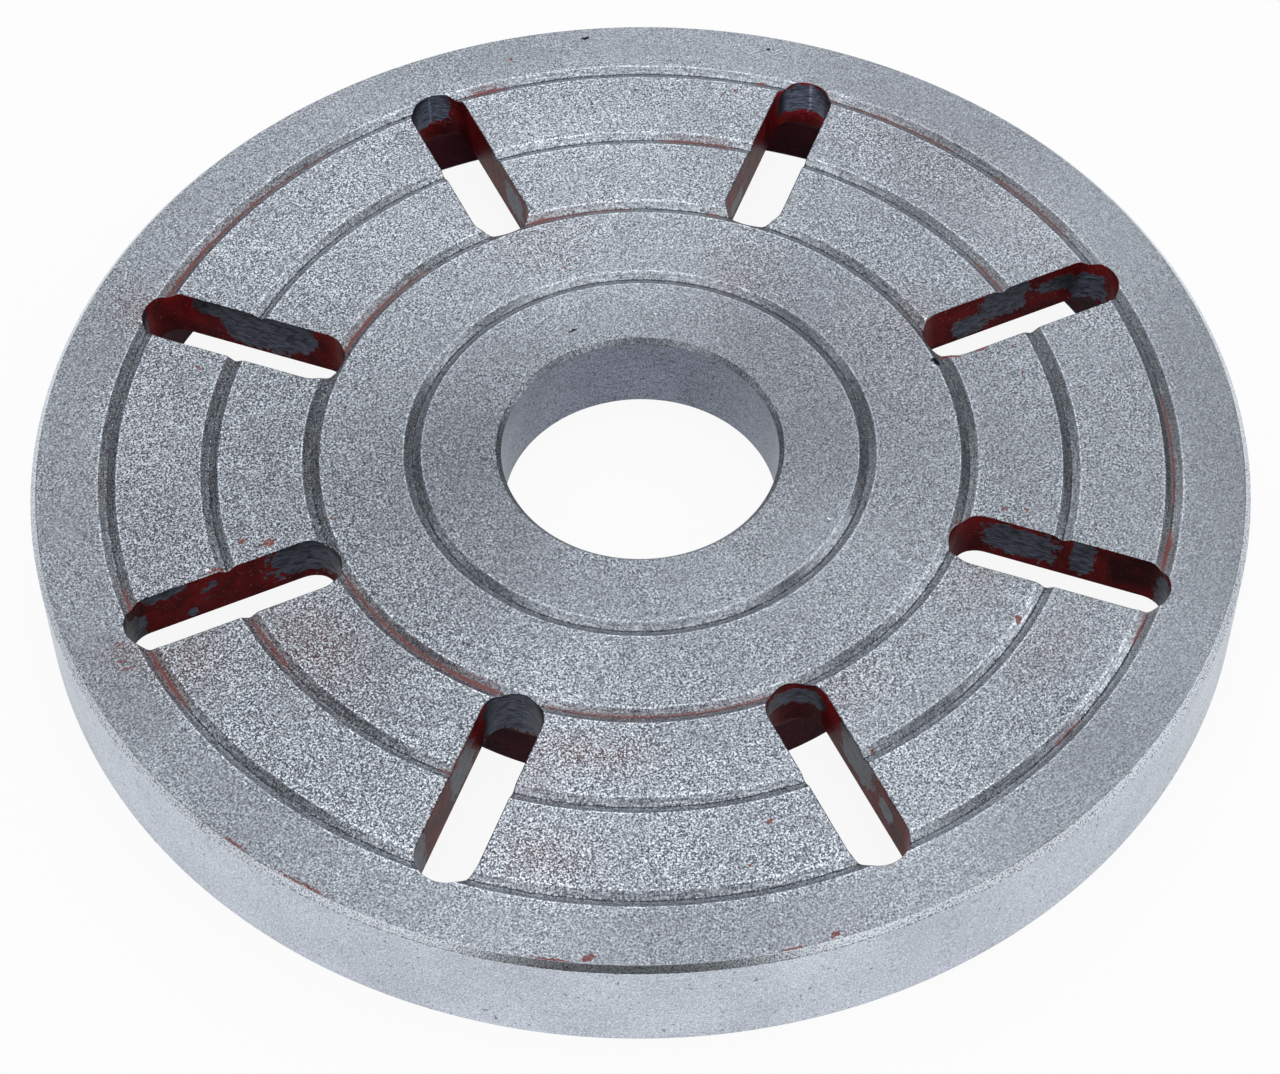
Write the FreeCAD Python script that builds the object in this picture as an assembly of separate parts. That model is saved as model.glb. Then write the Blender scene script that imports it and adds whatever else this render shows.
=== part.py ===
import FreeCAD, Part
import math
import os

# Slotted face plate of a small lathe: one grey iron casting, turned on its face, edge, bore and back.
# Frame: the origin is the centre of the back plane, +Z runs along the spindle axis towards the work
# face and +X runs along the middle of one slot. Lengths are millimetres, angles are degrees.

# Turned body.
plate_diameter = 240.0
plate_height = 24.0
web_thickness = 11.0
rim_wall = 12.0
face_edge_chamfer = 1.2
back_edge_break = 0.3

# Bore, and the register behind it that centres the plate on the spindle flange.
bore_diameter = 55.0
bore_chamfer = 1.0
register_diameter = 95.0
register_depth = 4.8
register_break = 0.5

# Blind holes for the flange studs, at the core size of an M8 thread, in the back of the hub.
stud_count = 3
stud_hole_diameter = 6.8
stud_countersink = 0.6
stud_to_register = 6.5
stud_to_hub_edge = 9.5
stud_floor = 10.0
drill_point_angle = 118.0
first_stud_angle = 90.0

# Cast ring-shaped recess between the hub and the rim.
recess_draft = 1.0
recess_fillet = 3.0
# The fillet's round is laid in as this many flats, which keeps the ring light to mesh.
fillet_flats = 4

# Radial clamping slots, which stop just short of the hub and the rim.
slot_count = 8
slot_width = 12.0
slot_end_gap = 0.4

# Centring grooves turned into the work face, spread evenly between the bore and the edge.
groove_count = 4
groove_width = 3.5
groove_flat = 0.4
groove_angle = 120.0
groove_to_bore = 17.5
groove_to_edge = 15.0

# Cutting tools run past a surface by this much.
overrun = 1.0

plate_radius = plate_diameter / 2
bore_radius = bore_diameter / 2
register_radius = register_diameter / 2
stud_circle_radius = register_radius + stud_to_register
hub_radius = stud_circle_radius + stud_to_hub_edge
rim_inner_radius = plate_radius - rim_wall

recess_depth = plate_height - web_thickness
draft_run = recess_depth * math.tan(math.radians(recess_draft))
recess_inner_floor_radius = hub_radius + draft_run
recess_outer_floor_radius = rim_inner_radius - draft_run

slot_inner_end = hub_radius + slot_end_gap
slot_outer_end = rim_inner_radius - slot_end_gap
slot_end_radius = slot_width / 2

groove_depth = (groove_width - groove_flat) / 2 / math.tan(math.radians(groove_angle / 2))
groove_first_radius = bore_radius + groove_to_bore
groove_last_radius = plate_radius - groove_to_edge
groove_pitch = (groove_last_radius - groove_first_radius) / (groove_count - 1)

spindle_axis = FreeCAD.Vector(0, 0, 1)
origin = FreeCAD.Vector(0, 0, 0)


# Section of one groove from its bore side to its edge side, as (radius, height) points.
def groove_section(centre_radius):
    floor = plate_height - groove_depth
    return [
        (centre_radius - groove_width / 2, plate_height),
        (centre_radius - groove_flat / 2, floor),
        (centre_radius + groove_flat / 2, floor),
        (centre_radius + groove_width / 2, plate_height),
    ]


# Cast fillet in a floor corner of the recess, from the floor to the wall, as (radius, height) points.
# Side is +1 at the hub, where the recess lies outside the corner, and -1 at the rim. The wall leans
# by the draft, so the fillet turns through a little less than a right angle.
def recess_corner(corner_radius, side):
    turn = math.radians(90 - recess_draft)
    tangent_length = recess_fillet * math.tan(turn / 2)
    centre_radius = corner_radius + side * tangent_length
    centre_height = recess_depth - recess_fillet
    points = []
    for number in range(fillet_flats + 1):
        angle = turn * number / fillet_flats
        radius = centre_radius - side * recess_fillet * math.sin(angle)
        height = centre_height + recess_fillet * math.cos(angle)
        points.append((radius, height))
    return points


# Half section of the whole plate, walked from the bore over the work face, down the edge and
# back along the underside through the recess, the hub and the register.
def plate_section():
    section = [
        (bore_radius, register_depth + bore_chamfer),
        (bore_radius, plate_height - bore_chamfer),
        (bore_radius + bore_chamfer, plate_height),
    ]
    for number in range(groove_count):
        section += groove_section(groove_first_radius + number * groove_pitch)
    section += [
        (plate_radius - face_edge_chamfer, plate_height),
        (plate_radius, plate_height - face_edge_chamfer),
        (plate_radius, back_edge_break),
        (plate_radius - back_edge_break, 0),
        (rim_inner_radius, 0),
    ]
    section += reversed(recess_corner(recess_outer_floor_radius, -1))
    section += recess_corner(recess_inner_floor_radius, 1)
    section += [
        (hub_radius, 0),
        (register_radius + register_break, 0),
        (register_radius, register_break),
        (register_radius, register_depth),
        (bore_radius + bore_chamfer, register_depth),
    ]
    return section


# Solid of revolution of a closed section about the spindle axis.
def turned(section):
    points = [FreeCAD.Vector(radius, 0, height) for radius, height in section]
    outline = Part.makePolygon(points + points[:1])
    return Part.Face(outline).revolve(origin, spindle_axis, 360)


# Cutter for the slot that lies along +X: straight sides with full round ends.
def slot_cutter():
    inner_centre = slot_inner_end + slot_end_radius
    outer_centre = slot_outer_end - slot_end_radius
    low = -overrun
    inner_left = FreeCAD.Vector(inner_centre, slot_end_radius, low)
    inner_right = FreeCAD.Vector(inner_centre, -slot_end_radius, low)
    outer_left = FreeCAD.Vector(outer_centre, slot_end_radius, low)
    outer_right = FreeCAD.Vector(outer_centre, -slot_end_radius, low)
    outline = Part.Wire([
        Part.makeLine(inner_right, outer_right),
        Part.Arc(outer_right, FreeCAD.Vector(slot_outer_end, 0, low), outer_left).toShape(),
        Part.makeLine(outer_left, inner_left),
        Part.Arc(inner_left, FreeCAD.Vector(slot_inner_end, 0, low), inner_right).toShape(),
    ])
    return Part.Face(outline).extrude(spindle_axis * (plate_height + 2 * overrun))


# Cutter for one blind stud hole on +X, drilled from the back, with its point and its countersink.
def stud_cutter():
    hole_radius = stud_hole_diameter / 2
    full_depth = plate_height - stud_floor
    point_height = hole_radius / math.tan(math.radians(drill_point_angle / 2))
    drilled = [
        (0, -overrun),
        (hole_radius + stud_countersink, -overrun),
        (hole_radius + stud_countersink, 0),
        (hole_radius, stud_countersink),
        (hole_radius, full_depth),
        (0, full_depth + point_height),
    ]
    cutter = turned(drilled)
    cutter.translate(FreeCAD.Vector(stud_circle_radius, 0, 0))
    return cutter


# Copies of a cutter, evenly spaced about the spindle axis.
def ring_of(cutter, count, first_angle):
    copies = []
    for number in range(count):
        copy = cutter.copy()
        copy.rotate(origin, spindle_axis, first_angle + number * 360 / count)
        copies.append(copy)
    return copies


def face_plate():
    body = turned(plate_section())
    slots = ring_of(slot_cutter(), slot_count, 0)
    stud_holes = ring_of(stud_cutter(), stud_count, first_stud_angle)
    return body.cut(slots + stud_holes)


os.makedirs("parts", exist_ok=True)
plate = face_plate()
plate.exportStep("parts/face_plate.step")
print("face_plate", "solids", len(plate.Solids), "valid", plate.isValid(), "volume", round(plate.Volume))
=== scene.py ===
import bmesh
import bpy
import numpy as np
from mathutils import Matrix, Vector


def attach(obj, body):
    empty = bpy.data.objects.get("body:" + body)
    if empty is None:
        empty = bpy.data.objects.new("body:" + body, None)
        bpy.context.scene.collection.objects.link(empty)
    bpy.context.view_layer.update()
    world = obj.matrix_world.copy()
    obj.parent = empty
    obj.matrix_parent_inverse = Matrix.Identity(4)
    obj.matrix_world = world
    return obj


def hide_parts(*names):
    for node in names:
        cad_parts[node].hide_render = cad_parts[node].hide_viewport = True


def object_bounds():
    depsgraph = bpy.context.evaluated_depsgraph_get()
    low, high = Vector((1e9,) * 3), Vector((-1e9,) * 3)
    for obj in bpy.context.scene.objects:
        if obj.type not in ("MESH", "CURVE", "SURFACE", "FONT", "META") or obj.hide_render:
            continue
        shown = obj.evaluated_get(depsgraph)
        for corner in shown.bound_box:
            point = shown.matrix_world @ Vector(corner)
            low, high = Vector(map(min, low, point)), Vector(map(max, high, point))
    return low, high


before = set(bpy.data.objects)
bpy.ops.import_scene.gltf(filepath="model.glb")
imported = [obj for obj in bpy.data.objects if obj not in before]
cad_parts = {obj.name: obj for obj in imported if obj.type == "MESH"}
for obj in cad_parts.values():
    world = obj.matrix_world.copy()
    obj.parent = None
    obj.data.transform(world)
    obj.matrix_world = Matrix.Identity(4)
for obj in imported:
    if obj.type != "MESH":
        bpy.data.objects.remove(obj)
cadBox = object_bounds()
scene = bpy.context.scene
mm = 0.001


def unit(v):
    # any vector or list of vectors at length one
    v = np.asarray(v, float)
    return v / np.linalg.norm(v, axis=-1, keepdims=True)


viewpoint = {
    "distance": 681.55,  # mm from the middle of the work face
    "azimuth": -114.6,  # degrees round from +X, which runs along one slot
    "elevation": 50.393,
    "tiltDown": 1.516,  # the lens points this much lower than the middle of the face
    "turn": 0.024,
    "roll": -0.494,
    "lens": 97.03,
    "sensor": 36.0,
}


def placeCamera(v, faceHeight):
    # the lens stands on a ray from the middle of the face, looks back along it but for a small tilt, turn and roll
    lookUp = np.radians(v["elevation"] + v["tiltDown"])
    stand = np.radians(v["elevation"])
    turn, roll = np.radians(v["turn"]), np.radians(v["roll"])
    place = v["distance"] * np.array([0, -np.cos(stand), np.sin(stand)]) + np.array([0, 0, faceHeight])
    back = np.array([np.sin(turn) * np.cos(lookUp), -np.cos(lookUp) * np.cos(turn), np.sin(lookUp)])
    right = unit(np.cross([0, 0, 1], back))
    up = unit(np.cross(back, right))
    across = np.cos(roll) * right + np.sin(roll) * up
    upright = np.cos(roll) * up - np.sin(roll) * right
    camData = bpy.data.cameras.new("productLens")
    camData.sensor_fit = "HORIZONTAL"
    camData.sensor_width = v["sensor"]
    camData.lens = v["lens"]
    camData.clip_start, camData.clip_end = 0.01, 200
    cam = bpy.data.objects.new("productCamera", camData)
    pose = np.eye(4)
    pose[:3, 0], pose[:3, 1], pose[:3, 2], pose[:3, 3] = across, upright, back, place * mm
    swing = Matrix.Rotation(np.radians(v["azimuth"] + 90), 4, "Z")
    cam.matrix_world = swing @ Matrix(pose.tolist())
    scene.collection.objects.link(cam)
    scene.camera = cam


placeCamera(viewpoint, cadBox[1].z / mm)
print("camera placed")

# the casting's shape, in mm
plate = {
    "radius": cadBox[1].x / mm,
    "height": cadBox[1].z / mm,
    "webUnderside": 13.0,
    "rimInside": 108.0,
    "hubOutside": 63.5,
    "draft": np.tan(np.radians(1.0)),
    "recessFillet": 3.0,
    "faceChamfer": 1.2,
    "backBreak": 0.3,
    "bore": 27.5,
    "boreChamfer": 1.0,
    "register": 47.5,
    "registerDepth": 4.8,
    "registerBreak": 0.5,
    "grooves": (45.0, 65.0, 85.0, 105.0),
    "grooveWidth": 3.5,
    "grooveFlat": 0.4,
    "grooveDepth": 0.895,
    "columns": 240,  # points round the plate
}
slots = {
    "count": 8,
    "innerCentre": 69.9,  # middle of each round end, mm from the axis
    "outerCentre": 101.6,
    "halfWidth": 6.0,
    "edgeRound": 0.25,
    "endSteps": 12,
    "wallStep": 0.8,
}
studs = {
    "circle": 54.0,
    "count": 3,
    "first": 90,  # azimuth of the first hole in degrees
    "radius": 3.4,
    "sink": 0.6,  # of the hole's mouth, at 45 degrees
    "deep": 14.0,
    "tip": 16.04,
    "steps": 14,
}

# finish numbers, in the order in which the materials are made
facedIron, turnedRim, recessPaint, boredIron, slotPaint = range(5)


def roundCorners(corners):
    # each corner (r, z, rounding, steps) becomes an arc that touches both sides: its ends lie rounding / tan(half
    # angle) from the corner, and the radius turns evenly from one side's foot to the other's
    points = []
    for i, (r, z, size, steps) in enumerate(corners):
        here = np.array([r, z])
        before = unit(np.array(corners[i - 1][:2]) - here)
        after = unit(np.array(corners[(i + 1) % len(corners)][:2]) - here)
        if size == 0:
            points.append(here[None])
            continue
        half = np.arccos(np.clip(before @ after, -1, 1)) / 2
        centre = here + unit(before + after) * size / np.sin(half)
        foot = here + before * size / np.tan(half) - centre
        other = here + after * size / np.tan(half) - centre
        sweep = np.pi - 2 * half
        part = np.linspace(0, 1, steps + 1)[:, None]
        arc = (np.sin((1 - part) * sweep) * foot + np.sin(part * sweep) * other) / np.sin(sweep)
        points.append(centre + arc)
    return np.concatenate(points)


def sectionCorners(p):
    # the plate's half section as one closed loop, from the bore's front edge out along the face and home under the web
    top, reach = p["height"], p["radius"]
    corners = [(p["bore"] + p["boreChamfer"], top, 0.15, 3)]
    for g in p["grooves"]:
        half, flat, low = p["grooveWidth"] / 2, p["grooveFlat"] / 2, top - p["grooveDepth"]
        corners += [(g - half, top, 0.15, 2), (g - flat, low, 0.2, 2)]
        corners += [(g + flat, low, 0.2, 2), (g + half, top, 0.15, 2)]
    under = p["webUnderside"]
    corners += [
        (reach - p["faceChamfer"], top, 0.3, 3),
        (reach, top - p["faceChamfer"], 0.4, 3),
        (reach, p["backBreak"], 0.2, 2),
        (reach - p["backBreak"], 0, 0.2, 2),
        (p["rimInside"], 0, 0.3, 2),
        (p["rimInside"] - under * p["draft"], under, p["recessFillet"], 8),
        (p["hubOutside"] + under * p["draft"], under, p["recessFillet"], 8),
        (p["hubOutside"], 0, 0.3, 2),
        (p["register"] + p["registerBreak"], 0, 0.15, 2),
        (p["register"], p["registerBreak"], 0.15, 2),
        (p["register"], p["registerDepth"], 0, 0),
        (p["bore"] + p["boreChamfer"], p["registerDepth"], 0.15, 2),
        (p["bore"], p["registerDepth"] + p["boreChamfer"], 0.15, 2),
        (p["bore"], top - p["boreChamfer"], 0.15, 2),
    ]
    return corners


def slotSide(s, half):
    # one side of a slot's outline from its inner tip to its outer tip: a quarter circle, a straight run and a quarter
    # circle, where s is the length along the wall and half is the distance from the middle line
    bend = np.pi / 2 * slots["halfWidth"]
    run = slots["outerCentre"] - slots["innerCentre"]
    turnIn = np.clip(s / slots["halfWidth"], 0, np.pi / 2)
    turnOut = np.clip((s - bend - run) / slots["halfWidth"], 0, np.pi / 2)
    along = slots["innerCentre"] + np.clip(s - bend, 0, run)
    u = along - half * np.cos(turnIn) * (turnIn < np.pi / 2) + half * np.sin(turnOut)
    w = half * np.sin(turnIn) * np.cos(turnOut)
    return u, w


slots["sideLength"] = np.pi * slots["halfWidth"] + slots["outerCentre"] - slots["innerCentre"]
loop = roundCorners(sectionCorners(plate))
peak = int(np.argmax(loop[:, 0] > plate["radius"] - plate["faceChamfer"]))  # first point of the outer chamfer
face = loop[:peak]
underStart = int(np.argmax((loop[:, 1] > 1) & (np.arange(len(loop)) > peak + 6) & (loop[:, 0] < plate["rimInside"])))
underEnd = len(loop) - 1 - int(np.argmax((loop[::-1, 0] > plate["register"] + 5) & (loop[::-1, 1] > 1)))
under = loop[underStart:underEnd + 1]
edgeHalf = slots["halfWidth"] + slots["edgeRound"]


def lengthAt(radius, half):
    # how far along the slot's side the given distance from the axis is reached
    table = np.linspace(0, slots["sideLength"], 20001)
    u, w = slotSide(table, half)
    reached = np.hypot(u, w)
    inside = (radius > reached[0]) & (radius < reached[-1])
    return np.interp(radius[inside], reached, table)


breaks = np.sort(np.concatenate([lengthAt(face[:, 0], edgeHalf), lengthAt(under[:, 0], slots["halfWidth"])]))
breaks = breaks[np.concatenate([[True], np.diff(breaks) > 0.015])]
bend = np.pi / 2 * slots["halfWidth"]
even = np.concatenate([
    np.linspace(0, bend, slots["endSteps"] + 1),
    np.arange(bend + slots["wallStep"], slots["sideLength"] - bend, slots["wallStep"]),
    np.linspace(slots["sideLength"] - bend, slots["sideLength"], slots["endSteps"] + 1),
])
clear = np.abs(even[:, None] - breaks[None]).min(1) > 0.25
clear[[0, -1]] = True
keepBreaks = (breaks > 0.1) & (breaks < slots["sideLength"] - 0.1)
steps = np.sort(np.concatenate([even[clear], breaks[keepBreaks]]))
print("slot outline rows", len(steps))


def rowsFor(path, half, outward):
    # (radius, height, half angle of the slot) of each ring of points, with the slot's own rows where it is crossed
    u, w = slotSide(steps, half)
    r, opening = np.hypot(u, w), np.arctan2(w, u)
    opening[[0, -1]] = 0
    order = path[:, 0] if outward else path[::-1, 0]
    heights = path[:, 1] if outward else path[::-1, 1]
    z = np.interp(r, order, heights)
    inner = order < r[0] - 0.02
    outer = order > r[-1] + 0.02
    radius = np.concatenate([order[inner], r, order[outer]])
    height = np.concatenate([heights[inner], z, heights[outer]])
    gap = np.concatenate([np.zeros(inner.sum()), opening, np.zeros(outer.sum())])
    rows = np.stack([radius, height, gap], -1)
    return rows if outward else rows[::-1]


parts = {"points": [], "quads": [], "finish": [], "used": 0}


def addGrid(grid, finish):
    # a grid of points (down, across, 3) goes into the mesh as quads, with one finish for all or one for each strip
    down, across = grid.shape[:2]
    ids = np.arange(down * across).reshape(down, across) + parts["used"]
    quads = np.stack([ids[:-1, :-1], ids[1:, :-1], ids[1:, 1:], ids[:-1, 1:]], -1).reshape(-1, 4)
    parts["points"].append(grid.reshape(-1, 3))
    parts["quads"].append(quads)
    parts["finish"].append(np.repeat(np.broadcast_to(finish, down - 1), across - 1))
    parts["used"] += down * across


def addRings(rows, finish, sectors, start):
    # rings of points round the axis, drawn aside where an opening lies at the seam of two sectors: inside a sector the
    # angle runs evenly from the opening's half angle to the same distance before the next seam
    width = 2 * np.pi / sectors
    part = np.linspace(0, 1, plate["columns"] // sectors + 1)
    for s in range(sectors):
        angle = start + width * s + rows[:, 2:3] + (width - 2 * rows[:, 2:3]) * part
        grid = np.stack([rows[:, :1] * np.cos(angle), rows[:, :1] * np.sin(angle), rows[:, 1:2] + 0 * angle], -1)
        addGrid(grid, finish)


def turnPoints(u, w, z, angle):
    return np.stack([u * np.cos(angle) - w * np.sin(angle), u * np.sin(angle) + w * np.cos(angle), z], -1)


def plain(path):
    # rings with no opening in them
    return np.concatenate([path, np.zeros((len(path), 1))], 1)


faceRows = rowsFor(face, edgeHalf, True)
underRows = rowsFor(under, slots["halfWidth"], False)
studReach = studs["radius"] + studs["sink"]
home = loop[underEnd + 1:]
hubOut = home[:, 0] > studs["circle"]
rings = np.concatenate([
    [[studs["circle"] - studReach, 0, 0]],
    plain(home[~hubOut]),
    faceRows,
    plain(loop[peak:underStart]),
    underRows,
    plain(home[hubOut]),
    [[studs["circle"] + studReach, 0, 0]],
])
middleR, middleZ = ((rings[1:] + rings[:-1]) / 2).T[:2]
flatOut = plate["radius"] - plate["faceChamfer"]
onFace = (middleZ > plate["height"] - 1) & (middleR > plate["bore"] + 0.05) & (middleR < flatOut)
inRecess = (middleR > plate["hubOutside"] - 0.05) & (middleR < plate["rimInside"] + 0.05) & (middleZ > 0.3)
inBore = middleR < plate["bore"] + 0.5
ringFinish = np.select([onFace, inBore, inRecess], [facedIron, boredIron, recessPaint], turnedRim)
addRings(rings, ringFinish, slots["count"], 0)

# slot walls: the rounded edge of the face, then straight down to the web's underside
turn = np.radians([0, 30, 60, 90])
for k in range(slots["count"]):
    for side in (1, -1):
        topU, topW = slotSide(steps, edgeHalf)
        topZ = np.interp(np.hypot(topU, topW), face[:, 0], face[:, 1])
        footU, footW = slotSide(steps, slots["halfWidth"])
        footZ = np.interp(np.hypot(footU, footW), under[::-1, 0], under[::-1, 1])
        us, ws, zs = [], [], []
        for t in turn:
            u, w = slotSide(steps, slots["halfWidth"] + slots["edgeRound"] * (1 - np.sin(t)))
            us.append(u)
            ws.append(w)
            zs.append(topZ - slots["edgeRound"] * (1 - np.cos(t)))
        for part in np.linspace(0, 1, 11)[1:]:
            us.append(footU)
            ws.append(footW)
            zs.append(zs[3] + (footZ - zs[3]) * part)
        grid = turnPoints(np.array(us), side * np.array(ws), np.array(zs), 2 * np.pi * k / slots["count"])
        addGrid(grid, [facedIron] * 2 + [slotPaint] * (len(grid) - 3))

# stud holes: a ring band whose columns part round each hole, and the hole's own wall
phi = np.linspace(0, np.pi, studs["steps"] + 1)
studU = studs["circle"] + studReach * np.cos(phi)
studW = studReach * np.sin(phi)
gap = np.arctan2(studW, studU)
gap[[0, -1]] = 0
band = np.stack([np.hypot(studU, studW), 0 * phi, gap], -1)
addRings(band, turnedRim, studs["count"], np.radians(studs["first"]))
reach = np.array([studReach, studs["radius"], studs["radius"], 0.0])[:, None]
deep = np.array([0.0, studs["sink"], studs["deep"], studs["tip"]])[:, None]
for k in range(studs["count"]):
    for side in (1, -1):
        grid = turnPoints(studs["circle"] + reach * np.cos(phi), side * reach * np.sin(phi), deep + 0 * phi,
                          np.radians(studs["first"] + 360 / studs["count"] * k))
        addGrid(grid, boredIron)


def buildCasting():
    points = np.concatenate(parts["points"]) * mm
    quads = np.concatenate(parts["quads"])
    mesh = bpy.data.meshes.new("facePlateCasting")
    mesh.vertices.add(len(points))
    mesh.vertices.foreach_set("co", points.astype(np.float32).ravel())
    mesh.loops.add(quads.size)
    mesh.loops.foreach_set("vertex_index", quads.astype(np.int32).ravel())
    mesh.polygons.add(len(quads))
    mesh.polygons.foreach_set("loop_start", np.arange(0, quads.size, 4, dtype=np.int32))
    mesh.polygons.foreach_set("material_index", np.concatenate(parts["finish"]).astype(np.int32))
    mesh.update(calc_edges=True)
    work = bmesh.new()
    work.from_mesh(mesh)
    bmesh.ops.remove_doubles(work, verts=work.verts, dist=4e-6)
    bmesh.ops.recalc_face_normals(work, faces=work.faces)
    openEdges = sum(1 for e in work.edges if not e.is_manifold)
    volume = work.calc_volume(signed=True)
    print("casting faces", len(work.faces), "open edges", openEdges, "cm3", round(volume * 1e6, 2))
    work.to_mesh(mesh)
    work.free()
    mesh.polygons.foreach_set("use_smooth", np.ones(len(mesh.polygons), bool))
    mesh.set_sharp_from_angle(angle=np.radians(35))
    return mesh


mesh = buildCasting()
casting = bpy.data.objects.new("face_plate_casting", mesh)
scene.collection.objects.link(casting)
weighted = casting.modifiers.new("evenShading", "WEIGHTED_NORMAL")
weighted.keep_sharp = True
weighted.weight = 50
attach(casting, "root")
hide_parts("face_plate")
print("casting built")


# marks that belong to one place are kept on the mesh as soft fields, which the finishes roughen at their edges
wearAndPaintedLight = {
    # rust haze on the face: azimuth in degrees, radius, reach along the ring and across it in mm, strength
    "haze": (
        (135.3, 110.4, 6, 5, 0.9), (84.2, 59.2, 12, 5, 0.6), (40.9, 47.8, 6, 4, 0.45), (6.1, 66.1, 7, 5, 0.5),
        (-51.7, 71.9, 6, 5, 0.5), (-57, 92, 9, 4, 0.4), (-177.4, 110.6, 5, 6, 0.9), (-167.5, 78.1, 13, 8, 0.65),
        (-174.1, 99.8, 9, 8, 0.6), (-129.9, 80, 9, 8, 0.35), (-122.8, 74, 11, 4, 0.7), (-125.6, 97.3, 9, 6, 0.5),
        (-83.2, 71.1, 8, 5, 0.35), (-95.9, 115, 8, 3, 0.4), (20, 100, 40, 12, 0.18), (160, 100, 40, 12, 0.18),
    ),
    # red paint left in the grooves: groove radius, first and last azimuth, strength at both
    "grooveRed": (
        (105, 133, 117, 1.0, 0.7), (105, 118, 103, 0.7, 0.15), (105, 85.4, 81.6, 1.1, 1.1), (105, 19.5, 8, 0.6, 0.6),
        (105, 40, 26, 0.3, 0.45), (105, 43.4, 42, 1.0, 1.0),
        (105, -18, -33, 0.5, 0.5), (105, -37, -42.5, 1.0, 1.0), (105, -48, -52, 0.6, 0.6), (105, -64, -68, 0.35, 0.35),
        (105, 174.5, 178.5, 0.7, 0.7), (105, -177, -169, 1.0, 0.8), (85, 61.5, 52, 0.7, 0.7),
        (85, 10.5, 3.5, 0.6, 0.6), (85, -175.5, -166.5, 0.7, 0.7), (85, -140.2, -138.6, 0.8, 0.8),
        (65, 133, 117, 0.9, 0.7), (65, 118, 107, 0.7, 0.3),
        (65, 86, 80, 1.0, 0.7), (65, 81, 67, 0.45, 0.3), (65, 52.5, 50, 0.6, 0.6), (65, -176, -156, 0.6, 0.7),
        (65, -158, -139, 0.6, 1.0), (65, -131, -93, 0.3, 0.3), (65, -123, -114, 0.5, 0.5),
    ),
    # places where the slot walls have lost their paint: slot, side, from and to along the wall, top and foot in depth
    "bare": (
        (0, 1, 13, 21.5, 4.5, 10.5), (0, 1, 19, 30.5, -0.5, 8.5), (0, 1, 33, 41.5, 2.5, 6.5), (0, 1, 40, 49, 3.5, 11),
        (1, 1, 42, 52, 0.5, 8.5), (1, -1, 42.5, 52, 0.5, 8.5), (1, 1, 12, 20, 6, 10),
        (2, 1, 39, 52, -1, 8.5), (2, -1, 46, 52, -1, 8), (2, -1, 11, 20, 2, 9), (2, -1, 23, 27, -1, 2),
        (3, 1, 45, 52, 0, 9.5), (3, -1, 27, 39.5, -2, 4.5), (3, -1, 16, 33, -2, 10.5), (3, -1, 12, 20, -2, 8.5),
        (4, -1, 41.5, 52, 4, 13), (4, -1, 45.5, 52, -2, 13), (4, 1, 46, 52, -2, 13), (4, -1, 33, 41.5, -1.5, 2.4),
        (4, -1, 26.4, 28.4, 2.2, 4), (4, -1, 28.4, 30.4, 3.4, 5), (4, -1, 31, 33.4, 8, 10.4),
        (4, -1, 28.3, 29.6, 6.2, 7.4),
        (4, -1, -3, 16.5, -2, 9.4), (4, 1, -3, 12, -2, 9.4),
        (5, 1, -3, 10, -2, 13), (5, -1, -3, 9, -2, 13), (5, -1, 14, 25.5, 1, 10), (5, -1, 37.5, 48, -1, 12),
        (6, 1, -2, 9, 2.2, 6.8), (6, -1, -2, 9, 2.2, 6.8), (6, 1, 15, 28.5, -1, 9), (6, 1, 31, 36, 3, 8),
        (7, 1, 8.5, 23.5, 0.8, 9.4), (7, 1, 26.2, 31.2, -1, 9.6), (7, 1, 43.5, 52, 1.5, 12),
        (7, -1, 10, 18, 2, 9), (6, -1, 30, 42, 1, 7), (5, 1, 25, 36, -1, 6), (4, 1, 28, 37, 3, 9),
        (3, 1, 15, 24, 2, 8), (2, 1, 20, 30, 4, 11), (1, -1, 16, 27, 0, 7), (0, -1, 24, 39, 2, 9),
    ),
    # places where the slot walls are darker (strength below 0) or painted brighter as painted light and reflection
    # (above
    # 0), given in the same way
    "wallDarkAndPaintedLight": (
        (7, 1, 33, 46, -3, 10, -1.2), (4, -1, 40, 56, -4, 15, -0.7), (4, 1, 42, 56, -4, 15, -0.7),
        (3, 1, 40, 47, -2, 6, -0.5),
        (1, 1, 40, 60, -3, 12, 1.0), (1, -1, 40, 60, -3, 12, 1.0), (2, 1, 42, 60, -3, 11, 0.7),
        (2, -1, 42, 60, -3, 11, 0.7),
        (5, 1, -9, 9, -3, 13, 0.3), (5, -1, -9, 9, -3, 13, 0.3),
    ),
}


def hazeField(azimuth, radius):
    # each mark is a bell, exp(-(a^2 + b^2)) of the distances along and across the ring; the strongest one counts
    field = np.zeros_like(radius)
    for at, r, along, across, strength in wearAndPaintedLight["haze"]:
        a = np.radians((azimuth - at + 180) % 360 - 180) * r / along
        field = np.maximum(field, strength * np.exp(-a ** 2 - ((radius - r) / across) ** 2))
    return field


def grooveField(azimuth, radius):
    # each run has a strength that changes evenly along it and fades in a degree and a half at its ends
    field = np.zeros_like(radius)
    for groove, first, last, strong, weak in wearAndPaintedLight["grooveRed"]:
        middle, half = (first + last) / 2, (last - first) / 2
        part = ((azimuth - middle + 180) % 360 - 180) / half
        level = strong + (weak - strong) * (np.clip(part, -1, 1) + 1) / 2
        fade = np.clip((1 - np.abs(part)) * abs(half) / 1.5 + 0.5, 0, 1)
        field = np.maximum(field, level * fade * (np.abs(radius - groove) < 2.4))
    return field


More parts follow.
